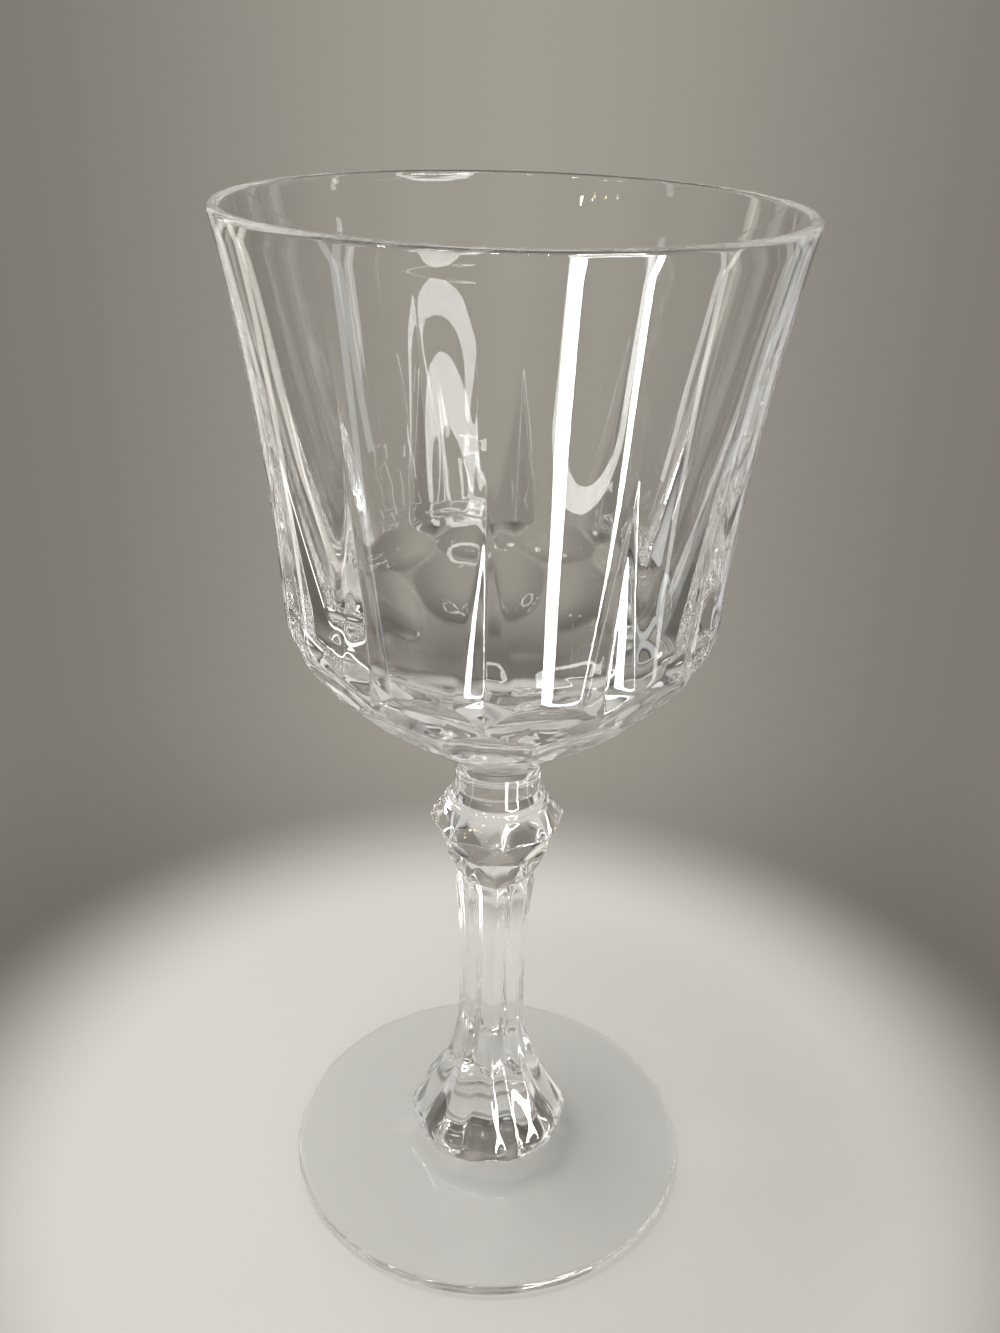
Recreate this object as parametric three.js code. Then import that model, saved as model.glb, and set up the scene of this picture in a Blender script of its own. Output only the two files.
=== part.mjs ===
// A wine goblet in clear pressed glass: a cut bowl, a fluted stem and a plain foot, welded end to end.
// Millimetres, +Z up. The foot stands on Z = 0 and every piece turns about the Z axis. Angles are counted
// from the front, -Y, towards +X.
import * as THREE from 'three';

const { clamp, lerp, degToRad, smoothstep } = THREE.MathUtils;

// Foot: a thin disc that rises to the weld under the stem
const FOOT_RADIUS = 35.8;
const FOOT_EDGE_THICKNESS = 2.4;
const FOOT_RISE = 3.6;
const FOOT_RING_WIDTH = 15.6;
const FOOT_HOLLOW_DEPTH = 1.2;

// Stem, from the weld on the foot up to the weld under the bowl
const BASE_RADIUS = 14.2;
const BASE_ROUNDING = 2.4;
const BASE_EDGE_HEIGHT = 3.3;
const FLARE_LENGTH = 23.7;
const LEG_RADIUS = 5.9;
const LEG_LENGTH = 26;
const LEG_TOP_RADIUS = 6.8;
const COLLAR_LENGTH = 3;
const WAIST_RADIUS = 6.35;
const TIER_LENGTH = 6.2;
const TIER_RADIUS = 9;
const KNOP_UNDER_LENGTH = 4.8;
const KNOP_RADIUS = 11.5;
const KNOP_TOP_LENGTH = 3.5;
const SHOULDER_RADIUS = 8.5;
const SHOULDER_LENGTH = 3;
const NECK_RADIUS = 7.1;
const NECK_LENGTH = 2.5;
const FLUTE_COUNT = 8;
const FLUTE_HOLLOW = 0.45;
const FLUTE_RUNOUT = 2;
const LOBE_DEPTH = 1.1;
const LOBE_HEIGHT = 15;

// Bowl, from the weld on the stem up to the rim
const BUTTON_LENGTH = 1.2;
const BUTTON_FILLET = 1.8;
const UNDER_HEIGHT = 25;
const CORNER_RADIUS = 33.2;
const CORNER_ROUNDING = 2;
const DART_HEIGHT = 29;
const PLAIN_HEIGHT = 31;
const WALL_GUIDE_RADIUS = 34.6;
const RIM_RADIUS = 40.8;
const RIM_WALL = 1.7;
const MIDDLE_WALL = 2.4;
const CORNER_WALL = 3.2;
const FLOOR_THICKNESS = 11;
const DART_COUNT = 12;
const DART_HALF_ANGLE = degToRad(7.1);
const DART_DEPTH = 1.3;
const DART_RUNOUT = 3;
const UPPER_OVAL_HEIGHT = 7.5;
const UPPER_OVAL_DEPTH = 1.3;
const LOWER_OVAL_HEIGHT = 10;
const LOWER_OVAL_DEPTH = 1.2;
const OVAL_OVERLAP = 1.5;

// The angle at which a dart of the bowl and a flute of the stem lie in line
const PATTERN_TURN = degToRad(26.25);

// Bends: where a curve's guide point lies, as shares of the way across and up from its start to its end
const HOLLOW_BEND = [0.5, 0];
const FOOT_TOP_BEND = [0.58, 0.2];
const ROUND_BEND = [1, 0];
const FLARE_BEND = [0.04, 0.13];
const ANKLE_BEND = [0.96, 0.41];
const LEG_BEND = [-0.45, 0.58];
const COLLAR_BEND = [0, 0.5];
const TIER_BEND = [1, 0.6];
const KNOP_BEND = [0.08, 0.5];
const SHOULDER_BEND = [1, 0.4];
const BUTTON_BEND = [0, 0.5];
const UNDER_LOW_BEND = [0.27, 0.27];
const UNDER_HIGH_BEND = [0.85, 0.55];
const INNER_CORNER_BEND = [0, 0.42];
const INNER_FLOOR_BEND = [0.43, 1];

// How finely curves are stepped, and the narrowest that a dart's columns get, as a share of half a repeat
const UNDER_STEPS = 12;
const FINE_STEPS = 8;
const COARSE_STEPS = 4;
const EDGE_STEPS = 3;
const COLUMNS_PER_FLUTE = 6;
const NARROWEST_DART = 0.06;

// Levels that follow from the sizes
const FOOT_HEIGHT = FOOT_EDGE_THICKNESS + FOOT_RISE;
const WELD_RADIUS = BASE_RADIUS - BASE_ROUNDING;
const LEG_BOTTOM = BASE_EDGE_HEIGHT + FLARE_LENGTH;
const LEG_TOP = LEG_BOTTOM + LEG_LENGTH;
const WAIST = LEG_TOP + COLLAR_LENGTH;
const TIER = WAIST + TIER_LENGTH;
const KNOP = TIER + KNOP_UNDER_LENGTH;
const SHOULDER = KNOP + KNOP_TOP_LENGTH;
const NECK = SHOULDER + SHOULDER_LENGTH;
const STEM_LENGTH = NECK + NECK_LENGTH;
const BUTTON_TOP = BUTTON_LENGTH + BUTTON_FILLET;
const CORNER = BUTTON_TOP + UNDER_HEIGHT;
const DART_TIP = CORNER + DART_HEIGHT;
const LIP = DART_TIP + PLAIN_HEIGHT - RIM_WALL / 2;

/** A point of an outline: its distance from the axis and its height. */
function at(radius, height) {
  return new THREE.Vector2(radius, height);
}

/** The guide point of a bend between two points of an outline. */
function guide(start, end, [across, up]) {
  return at(lerp(start.x, end.x, across), lerp(start.y, end.y, up));
}

/** Points along a curve with one bend, without the first. */
function sweep(start, end, bend, steps) {
  return new THREE.QuadraticBezierCurve(start, guide(start, end, bend), end).getPoints(steps).slice(1);
}

/** Points along a curve with two bends, without the first. */
function doubleSweep(start, end, firstBend, secondBend, steps) {
  const first = guide(start, end, firstBend);
  const second = guide(start, end, secondBend);
  return new THREE.CubicBezierCurve(start, first, second, end).getPoints(steps).slice(1);
}

/** Evenly spaced values from one to another, without the first. */
function spread(from, to, count) {
  return Array.from({ length: count }, (_, i) => lerp(from, to, (i + 1) / count));
}

/**
 * Revolves an outline about Z and sinks a repeated cut into it.
 * The stations are the angles of one repeat's columns at a point of the outline, counted from the middle of
 * the repeat, so that columns can run along the edges of a cut. The depth is how far the cut goes in there,
 * square to the outline.
 */
function revolve(outline, { count, turn, stations, depth }) {
  const pitch = (2 * Math.PI) / count;
  const perRepeat = stations(outline[0], 0).length;
  const geometry = new THREE.LatheGeometry(outline, count * perRepeat);
  const { position, normal } = geometry.attributes;
  const outward = outline.map((_, row) => at(normal.getZ(row), normal.getY(row)));
  for (let i = 0; i < position.count; i += 1) {
    const row = i % outline.length;
    const column = Math.floor(i / outline.length);
    const local = stations(outline[row], row)[column % perRepeat];
    const angle = turn + pitch * Math.floor(column / perRepeat) + local;
    const offCentre = Math.abs(local - pitch * Math.round(local / pitch));
    const point = outline[row].clone().addScaledVector(outward[row], -depth(outline[row], row, offCentre));
    position.setXYZ(i, point.x * Math.sin(angle), -point.x * Math.cos(angle), point.y);
  }
  geometry.deleteAttribute('normal');
  geometry.deleteAttribute('uv');
  geometry.computeVertexNormals();
  return geometry;
}

/** How far a flat face across a round section lies inside it, a given angle off the middle of the face. */
function flatDepth(radius, halfAngle, offCentre) {
  return radius * (1 - Math.cos(halfAngle) / Math.cos(offCentre));
}

/** A dished oval that is deepest in its middle; both distances are shares of its half sizes. */
function ovalDepth(deepest, across, along) {
  return deepest * Math.max(0, 1 - across ** 2 - along ** 2);
}

/** One where a height lies between two levels, easing in from the first and out to the last. */
function stretch(height, start, full, fading, end) {
  return smoothstep(height, start, full) * (1 - smoothstep(height, fading, end));
}

/** Clear glass of one piece. */
function clearGlass() {
  return new THREE.MeshStandardMaterial({
    color: 0xf3f6f5,
    roughness: 0.04,
    metalness: 0,
    transparent: true,
    opacity: 0.35,
  });
}

/** The foot, flat on its resting ring, hollow in the middle and round at its edge. */
function footGeometry() {
  const edgeRadius = FOOT_EDGE_THICKNESS / 2;
  const edgeCentre = at(FOOT_RADIUS - edgeRadius, edgeRadius);
  const edge = new THREE.EllipseCurve(
    edgeCentre.x, edgeCentre.y, edgeRadius, edgeRadius, -Math.PI / 2, Math.PI / 2,
  );
  const hollow = at(0, FOOT_HOLLOW_DEPTH);
  const ringStart = at(edgeCentre.x - FOOT_RING_WIDTH, 0);
  const topEdge = at(edgeCentre.x, FOOT_EDGE_THICKNESS);
  const seat = at(WELD_RADIUS, FOOT_HEIGHT);
  const outline = [
    hollow,
    ...sweep(hollow, ringStart, HOLLOW_BEND, EDGE_STEPS),
    ...edge.getPoints(FINE_STEPS),
    ...sweep(topEdge, seat, FOOT_TOP_BEND, COARSE_STEPS),
    at(0, FOOT_HEIGHT),
  ];
  return revolve(outline, {
    count: FLUTE_COUNT * FINE_STEPS,
    turn: PATTERN_TURN,
    stations: () => [0],
    depth: () => 0,
  });
}

/** The stem: a lobed base, a fluted leg, a knop with two rings of points, and a round neck. */
function stemGeometry() {
  const weldEdge = at(WELD_RADIUS, 0);
  const baseEdge = at(BASE_RADIUS, BASE_EDGE_HEIGHT);
  const legBottom = at(LEG_RADIUS, LEG_BOTTOM);
  const legTop = at(LEG_TOP_RADIUS, LEG_TOP);
  const waist = at(WAIST_RADIUS, WAIST);
  const tier = at(TIER_RADIUS, TIER);
  const knop = at(KNOP_RADIUS, KNOP);
  const shoulder = at(SHOULDER_RADIUS, SHOULDER);
  const neck = at(NECK_RADIUS, NECK);
  const outline = [
    at(0, 0),
    weldEdge,
    ...sweep(weldEdge, baseEdge, ROUND_BEND, EDGE_STEPS),
    ...doubleSweep(baseEdge, legBottom, FLARE_BEND, ANKLE_BEND, FINE_STEPS),
    ...sweep(legBottom, legTop, LEG_BEND, COARSE_STEPS),
    ...sweep(legTop, waist, COLLAR_BEND, EDGE_STEPS),
    ...sweep(waist, tier, TIER_BEND, COARSE_STEPS),
    ...sweep(tier, knop, KNOP_BEND, EDGE_STEPS),
    shoulder,
    ...sweep(shoulder, neck, SHOULDER_BEND, EDGE_STEPS),
    at(NECK_RADIUS, STEM_LENGTH),
    at(0, STEM_LENGTH),
  ];
  const half = Math.PI / FLUTE_COUNT;
  const column = (2 * half) / COLUMNS_PER_FLUTE;

  // The leg and the knop's points are eight-sided. The tier under the points is turned by half a flute. The
  // base has a lobe under each ridge of the leg, and a crease under each flute.
  const lobeTop = BASE_EDGE_HEIGHT + LOBE_HEIGHT;
  const leg = (height) => stretch(height, BASE_EDGE_HEIGHT, lobeTop, WAIST - FLUTE_RUNOUT, WAIST);
  const points = (height) => stretch(height, TIER, KNOP, KNOP, SHOULDER);
  const tierPoints = (height) => stretch(height, WAIST, TIER, TIER, KNOP);
  const lobes = (height) => stretch(height, 0, BASE_EDGE_HEIGHT, BASE_EDGE_HEIGHT, lobeTop);
  return revolve(outline, {
    count: FLUTE_COUNT,
    turn: PATTERN_TURN,
    stations: () => spread(-half, half, COLUMNS_PER_FLUTE).map((angle) => angle - column),
    depth: ({ x, y }, row, offCentre) => (
      (leg(y) + points(y)) * flatDepth(x, half, offCentre)
      + tierPoints(y) * flatDepth(x, half, half - offCentre)
      + leg(y) * FLUTE_HOLLOW * (1 - (offCentre / half) ** 2)
      + lobes(y) * LOBE_DEPTH * (1 - Math.sin((Math.PI / 2) * (offCentre / half)))
    ),
  });
}

/** The bowl: a button, two rows of ovals, pointed darts round a plain flared wall, and a round lip. */
function bowlGeometry() {
  const half = Math.PI / DART_COUNT;
  const lipRadius = RIM_WALL / 2;
  const wall = new THREE.QuadraticBezierCurve(
    at(CORNER_RADIUS, CORNER), at(WALL_GUIDE_RADIUS, (CORNER + LIP) / 2), at(RIM_RADIUS, LIP),
  );
  const wallAt = (height) => wall.getPoint((height - CORNER) / (LIP - CORNER));
  const button = at(NECK_RADIUS, BUTTON_LENGTH);
  const underStart = at(NECK_RADIUS + BUTTON_FILLET / 2, BUTTON_TOP);
  const corner = wallAt(CORNER);
  const under = new THREE.CubicBezierCurve(
    underStart, guide(underStart, corner, UNDER_LOW_BEND), guide(underStart, corner, UNDER_HIGH_BEND), corner,
  );
  const underShare = 1 - CORNER_ROUNDING / under.getLength();
  const wallStart = wallAt(CORNER + CORNER_ROUNDING);
  const rounding = new THREE.QuadraticBezierCurve(under.getPointAt(underShare), corner, wallStart);
  const lip = new THREE.EllipseCurve(RIM_RADIUS - lipRadius, LIP, lipRadius, lipRadius, 0, Math.PI);
  const outside = [
    at(0, 0),
    at(NECK_RADIUS, 0),
    button,
    ...sweep(button, underStart, BUTTON_BEND, EDGE_STEPS),
    ...spread(0, underShare, UNDER_STEPS).map((share) => under.getPointAt(share)),
    ...rounding.getPoints(EDGE_STEPS).slice(1),
    ...spread(wallStart.y, DART_TIP, FINE_STEPS).map(wallAt),
    ...spread(DART_TIP, LIP, FINE_STEPS).map(wallAt),
  ];

  const innerTop = at(RIM_RADIUS - RIM_WALL, LIP);
  const innerCorner = at(CORNER_RADIUS - CORNER_WALL, CORNER + CORNER_WALL);
  const innerMiddle = wallAt(DART_TIP).x - MIDDLE_WALL;
  const innerWall = new THREE.QuadraticBezierCurve(
    innerTop, at(2 * innerMiddle - (innerTop.x + innerCorner.x) / 2, DART_TIP), innerCorner,
  );
  const floor = at(0, FLOOR_THICKNESS);
  const inside = [
    ...lip.getPoints(EDGE_STEPS + 1).slice(1),
    ...innerWall.getPoints(COARSE_STEPS).slice(1),
    ...doubleSweep(innerCorner, floor, INNER_CORNER_BEND, INNER_FLOOR_BEND, FINE_STEPS),
  ];

  // A dart is a vee that narrows and rises from the corner to its tip, and runs out under the corner
  const dartShare = (height) => clamp((DART_TIP - height) / DART_HEIGHT, 0, 1);
  const dartDepth = (height, offDart) => {
    const fade = clamp(1 - (CORNER - height) / DART_RUNOUT, 0, 1);
    const share = dartShare(height);
    const across = share > 0 ? Math.min(1, offDart / (DART_HALF_ANGLE * share)) : 1;
    return DART_DEPTH * fade * share * (1 - across);
  };
  const upperMiddle = CORNER - UPPER_OVAL_HEIGHT / 2;
  const lowerMiddle = CORNER - UPPER_OVAL_HEIGHT + OVAL_OVERLAP - LOWER_OVAL_HEIGHT / 2;
  const cutDepth = (height, offCentre) => Math.max(
    dartDepth(height, half - offCentre),
    ovalDepth(UPPER_OVAL_DEPTH, offCentre / half, (height - upperMiddle) / (UPPER_OVAL_HEIGHT / 2)),
    ovalDepth(LOWER_OVAL_DEPTH, 1 - offCentre / half, (height - lowerMiddle) / (LOWER_OVAL_HEIGHT / 2)),
  );
  return revolve([...outside, ...inside], {
    count: DART_COUNT,
    turn: PATTERN_TURN - half,
    stations: ({ y }, row) => {
      const cut = row < outside.length && y <= DART_TIP;
      const dart = cut ? Math.max(DART_HALF_ANGLE * dartShare(y), NARROWEST_DART * half) : half / 2;
      const edge = half - dart;
      return [-edge, -edge / 2, 0, edge / 2, edge, half - dart / 2, half, half + dart / 2];
    },
    depth: ({ y }, row, offCentre) => (row < outside.length && y > BUTTON_TOP ? cutDepth(y, offCentre) : 0),
  });
}

/** A named piece, standing at its height. */
function piece(name, geometry, height) {
  const mesh = new THREE.Mesh(geometry, clearGlass());
  mesh.name = name;
  mesh.position.z = height;
  return mesh;
}

const goblet = new THREE.Group();
goblet.add(piece('foot', footGeometry(), 0));
goblet.add(piece('stem', stemGeometry(), FOOT_HEIGHT));
goblet.add(piece('bowl', bowlGeometry(), FOOT_HEIGHT + STEM_LENGTH));

export default goblet;
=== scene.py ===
"""A clear pressed-glass wine goblet, dressed for a studio picture.

The goblet is three gathers of glass: a bowl cut in darts and ovals, a fluted stem with a pointed knop, and a
round foot. Each gather is turned from a half outline, and its cuts are then sunk into the turned surface.
Outlines are in millimetres and meshes in metres. Angles are counted from the front, -Y, towards +X.
"""
import logging
import math
from dataclasses import dataclass
from enum import Enum
from typing import Any, ClassVar, Iterable, Optional, Union

import bmesh
import bpy
from mathutils import Matrix, Vector
from mathutils.geometry import interpolate_bezier


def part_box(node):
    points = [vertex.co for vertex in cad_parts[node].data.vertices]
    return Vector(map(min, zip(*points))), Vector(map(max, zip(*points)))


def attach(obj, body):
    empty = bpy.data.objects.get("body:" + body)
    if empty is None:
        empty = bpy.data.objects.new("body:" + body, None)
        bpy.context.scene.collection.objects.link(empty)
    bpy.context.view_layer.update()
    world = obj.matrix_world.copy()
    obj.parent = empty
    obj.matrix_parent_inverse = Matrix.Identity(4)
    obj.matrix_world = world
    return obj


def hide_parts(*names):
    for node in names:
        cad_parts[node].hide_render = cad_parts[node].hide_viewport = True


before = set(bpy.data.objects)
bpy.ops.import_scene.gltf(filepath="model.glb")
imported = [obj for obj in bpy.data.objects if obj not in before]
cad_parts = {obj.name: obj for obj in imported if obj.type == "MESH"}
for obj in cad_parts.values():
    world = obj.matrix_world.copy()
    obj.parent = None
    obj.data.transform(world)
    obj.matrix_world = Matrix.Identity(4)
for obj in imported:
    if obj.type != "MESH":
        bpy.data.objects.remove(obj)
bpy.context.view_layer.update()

LOG = logging.getLogger("goblet")
MM = 0.001
BODY = "root"

# The angle at which a dart of the bowl and a flute of the stem lie in line
PATTERN_TURN = math.radians(26.25)

# How often light may turn in the glass, and pass the welds and the faded paper
GLASS_BOUNCES = 64
CLEAR_BOUNCES = 24

Share = tuple[float, float]
Point = tuple[float, float, float]
Colour = tuple[float, float, float, float]
Rows = list[tuple[int, int]]


class Glass(Enum):
    """The record's glass slots, one for each gather."""

    BOWL = "bowl_glass"
    STEM = "stem_glass"
    FOOT = "foot_glass"


# Shader nodes


class Value:
    """A number on its way through a shader: arithmetic on it adds Math nodes."""

    def __init__(self, kit: "NodeKit", socket: bpy.types.NodeSocket) -> None:
        self.kit = kit
        self.socket = socket

    def _math(self, operation: str, first: Any, second: Any = 0.0, clamp: bool = False) -> "Value":
        """Adds one Math node.

        Args:
            operation: The node's operation.
            first: Its first value, a number or another shader value.
            second: Its second value.
            clamp: True to keep the result between 0 and 1.

        Returns:
            The node's result.
        """
        settings = {"operation": operation, "use_clamp": clamp}
        return self.kit.node("ShaderNodeMath", settings, {0: first, 1: second})

    def __add__(self, other: Any) -> "Value":
        """This value plus another."""
        return self._math("ADD", self, other)

    def __radd__(self, other: Any) -> "Value":
        """A number plus this value."""
        return self._math("ADD", other, self)

    def __sub__(self, other: Any) -> "Value":
        """This value less another."""
        return self._math("SUBTRACT", self, other)

    def __rsub__(self, other: Any) -> "Value":
        """A number less this value."""
        return self._math("SUBTRACT", other, self)

    def __mul__(self, other: Any) -> "Value":
        """This value times another."""
        return self._math("MULTIPLY", self, other)

    def __rmul__(self, other: Any) -> "Value":
        """A number times this value."""
        return self._math("MULTIPLY", other, self)

    def size(self) -> "Value":
        """This value without its sign."""
        return self._math("ABSOLUTE", self)

    def clamped(self) -> "Value":
        """This value, kept between 0 and 1."""
        return self._math("ADD", self, 0.0, clamp=True)

    def between(self, low: float, high: float) -> "Value":
        """A smooth step of this value.

        Args:
            low: Where the step starts, at 0.
            high: Where it ends, at 1.

        Returns:
            The step, between 0 and 1.
        """
        smooth = {"interpolation_type": "SMOOTHSTEP"}
        limits = {"From Min": low, "From Max": high}
        return self.kit.node("ShaderNodeMapRange", smooth, {"Value": self, **limits})


class NodeKit:
    """Adds nodes to one node tree."""

    def __init__(self, tree: bpy.types.NodeTree) -> None:
        """Empties a tree and keeps it."""
        self.tree = tree
        tree.nodes.clear()

    def node(
        self,
        kind: str,
        settings: Optional[dict[str, Any]] = None,
        sockets: Optional[dict[Union[str, int], Any]] = None,
        output: Union[str, int] = 0,
    ) -> Value:
        """Adds one node.

        Args:
            kind: The node's type.
            settings: Its properties, set before its sockets.
            sockets: The values or links of its inputs, by name or place.
            output: The output to hand back.

        Returns:
            The output, as a value; an output node, which has none, hands back its first input.
        """
        made = self.tree.nodes.new(kind)
        for key, setting in (settings or {}).items():
            setattr(made, key, setting)
        for key, given in (sockets or {}).items():
            if isinstance(given, Value):
                self.tree.links.new(given.socket, made.inputs[key])
            else:
                made.inputs[key].default_value = given
        return Value(self, made.outputs[output] if made.outputs else made.inputs[0])

    def place(self) -> Value:
        """Where a point lies in its piece, in metres."""
        return self.node("ShaderNodeTexCoord", output="Object")

    def axes(self, place: Value) -> tuple[Value, Value, Value]:
        """The three numbers of a place."""
        split = self.node("ShaderNodeSeparateXYZ", sockets={0: place}).socket.node
        return tuple(Value(self, split.outputs[axis]) for axis in "XYZ")

    def noise(self, place: Value, size: float, detail: float = 2.0, rough: float = 0.5) -> Value:
        """Noise between about 0 and 1.

        Args:
            place: Where the noise is read.
            size: How far its swells are apart, in metres.
            detail: How many finer layers it has.
            rough: How strong they are.

        Returns:
            The noise.
        """
        values = {"Vector": place, "Scale": 1 / size, "Detail": detail, "Roughness": rough}
        return self.node("ShaderNodeTexNoise", sockets=values)

    def drawn_out(self, place: Value, share: float, turn: Point = (0.0, 0.0, 0.0)) -> Value:
        """A place turned, and shrunk to a share along Z, so that what reads it is drawn out there."""
        values = {"Vector": place, "Rotation": turn, "Scale": (1.0, 1.0, share)}
        return self.node("ShaderNodeMapping", sockets=values)

    def blended(self, share: Value, first: Colour, last: Colour) -> Value:
        """A colour part of the way from one to another; a Mix node's colour sockets go by their places."""
        return self.node("ShaderNodeMix", {"data_type": "RGBA"}, {0: share, 6: first, 7: last}, 2)


# Finishes


def fresh_material(name: str) -> tuple[bpy.types.Material, NodeKit]:
    """Starts a material.

    Args:
        name: Its name.
    """
    made = bpy.data.materials.new(name)
    made.use_nodes = True
    return made, NodeKit(made.node_tree)


@dataclass(frozen=True)
class Scratches:
    """Hair-fine marks of washing that run one way.

    Attributes:
        size: How far they are apart, in metres.
        share: How far the noise is drawn out along them, as a share.
        turn: Which way they run, in radians about the three axes.
        shown: The levels of the noise between which a mark comes up.
    """

    size: float
    share: float
    turn: Point
    shown: Share

    def mask(self, kit: NodeKit, place: Value) -> Value:
        """1 on a scratch and 0 beside it."""
        return kit.noise(kit.drawn_out(place, self.share, self.turn), self.size, 1.0).between(*self.shown)


@dataclass(frozen=True)
class ClearGlass:
    """Clear soda glass, pressed and fire polished.

    Attributes:
        slot: The record's slot that it finishes.
        tint: What one face lets through, in red, green and blue.
        bend: Its index of refraction.
        polish: The roughness of its cleanest places.
        smear: The roughness that wiping leaves.
        ripple: How deep the slow swells of the pressed surface are, in metres.
        ripple_size: How far they are apart, in metres.
        scuff_height: Up to where table wear dulls it, in metres, or None.
        ripple_share: How far the swells are drawn out along the axis, as a share.
        smear_size: How far the smears are apart, in metres.
        smear_share: How far they are drawn out along the axis, as a share.
        smear_shown: The levels of the noise between which a smear comes up.
        smear_weight: How strong a smear is beside a scratch.
        washing: The scratches, in two directions.
        scuff_size: How far the marks of table wear are apart, in metres.
        scuff_shown: The levels of the noise between which a mark of it comes up.
        scuff_roughness: The roughness that it leaves.
        shadow_tint: What a lamp's light keeps on its way through to the floor.
        shadow_edge: How much of it a wall that is met edge on holds back.
    """

    slot: Glass
    tint: Colour = (0.985, 0.990, 0.988, 1.0)
    bend: float = 1.52
    polish: float = 0.004
    smear: float = 0.022
    ripple: float = 0.00010
    ripple_size: float = 0.016
    scuff_height: Optional[float] = None
    ripple_share: ClassVar[float] = 0.6
    smear_size: ClassVar[float] = 0.020
    smear_share: ClassVar[float] = 0.35
    smear_shown: ClassVar[Share] = (0.52, 0.74)
    smear_weight: ClassVar[float] = 0.6
    washing: ClassVar[tuple[Scratches, Scratches]] = (
        Scratches(0.0009, 0.06, (0.5, 0.2, 0.0), (0.70, 0.76)),
        Scratches(0.0011, 0.09, (-0.6, 0.4, 0.3), (0.71, 0.77)),
    )
    scuff_size: ClassVar[float] = 0.0012
    scuff_shown: ClassVar[Share] = (0.35, 0.7)
    scuff_roughness: ClassVar[float] = 0.22
    shadow_tint: ClassVar[Colour] = (1.0, 1.0, 1.0, 1.0)
    shadow_edge: ClassVar[float] = 0.45

    def material(self) -> bpy.types.Material:
        """Makes the glass.

        Returns:
            A material that bends light, and lets lamps through to the floor but for its edges.
        """
        made, kit = fresh_material(self.slot.value)
        place = kit.place()
        glass = kit.node(
            "ShaderNodeBsdfPrincipled",
            sockets={
                "Base Color": self.tint,
                "IOR": self.bend,
                "Transmission Weight": 1.0,
                "Roughness": self._roughness(kit, place),
                "Normal": self._ripples(kit, place),
            },
        )
        through = kit.node("ShaderNodeBsdfTransparent", sockets={"Color": self.shadow_tint})
        facing = kit.node("ShaderNodeLayerWeight", sockets={"Blend": 0.5}, output="Facing")
        to_lamp = kit.node("ShaderNodeLightPath", output="Is Shadow Ray")
        factor = to_lamp * (1 - self.shadow_edge * (facing * facing))
        mixed = kit.node("ShaderNodeMixShader", sockets={0: factor, 1: glass, 2: through})
        kit.node("ShaderNodeOutputMaterial", sockets={"Surface": mixed})
        return made

    def _roughness(self, kit: NodeKit, place: Value) -> Value:
        """Wiping smears, fine scratches and, on the resting ring, table wear.

        Args:
            place: Where a point lies in its piece.

        Returns:
            The roughness.
        """
        long_place = kit.drawn_out(place, self.smear_share)
        smears = kit.noise(long_place, self.smear_size, 4.0).between(*self.smear_shown)
        steep, flat = (run.mask(kit, place) for run in self.washing)
        wiped = (smears * self.smear_weight + (steep + flat)).clamped()
        rough = self.polish + (self.smear - self.polish) * wiped
        if self.scuff_height is None:
            return rough
        low = 1 - kit.axes(place)[2].between(0.0, self.scuff_height)
        marks = kit.noise(place, self.scuff_size, 6.0, 0.7).between(*self.scuff_shown)
        return rough + (self.scuff_roughness - self.smear) * (low * marks)

    def _ripples(self, kit: NodeKit, place: Value) -> Value:
        """The slow swells that pressing leaves in a surface.

        Args:
            place: Where a point lies in its piece.

        Returns:
            The normal of the rippled surface.
        """
        swells = kit.noise(kit.drawn_out(place, self.ripple_share), self.ripple_size, 1.0)
        values = {"Strength": 1.0, "Distance": self.ripple, "Height": swells}
        return kit.node("ShaderNodeBump", sockets=values)


@dataclass(frozen=True)
class FusedWeld:
    """A face where two gathers are fused, so that nothing of it is seen."""

    name: str = "fused_weld"

    def material(self) -> bpy.types.Material:
        """Makes the finish.

        Returns:
            A material that light passes unbent.
        """
        made, kit = fresh_material(self.name)
        clear = kit.node("ShaderNodeBsdfTransparent")
        kit.node("ShaderNodeOutputMaterial", sockets={"Surface": clear})
        return made


@dataclass(frozen=True)
class StudioPaper:
    """Matt pale paper under the goblet, which fades into the air behind.

    Attributes:
        pale: Its colour.
        start: How far from the axis it starts to fade, in metres.
        end: How far from it the paper has faded, in metres.
        matt: Its roughness.
    """

    pale: Colour = (0.62, 0.605, 0.575, 1.0)
    start: float = 0.075
    end: float = 0.125
    matt: float = 0.9

    def material(self) -> bpy.types.Material:
        """Makes the paper.

        Returns:
            A pale matt material that grows clear away from the axis.
        """
        made, kit = fresh_material("studio_paper")
        distance = kit.node("ShaderNodeVectorMath", {"operation": "LENGTH"}, {0: kit.place()}, "Value")
        far = distance.between(self.start, self.end)
        values = {"Base Color": self.pale, "Roughness": self.matt}
        paper = kit.node("ShaderNodeBsdfPrincipled", sockets=values)
        air = kit.node("ShaderNodeBsdfTransparent")
        faded = kit.node("ShaderNodeMixShader", sockets={0: far, 1: paper, 2: air})
        kit.node("ShaderNodeOutputMaterial", sockets={"Surface": faded})
        return made


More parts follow.
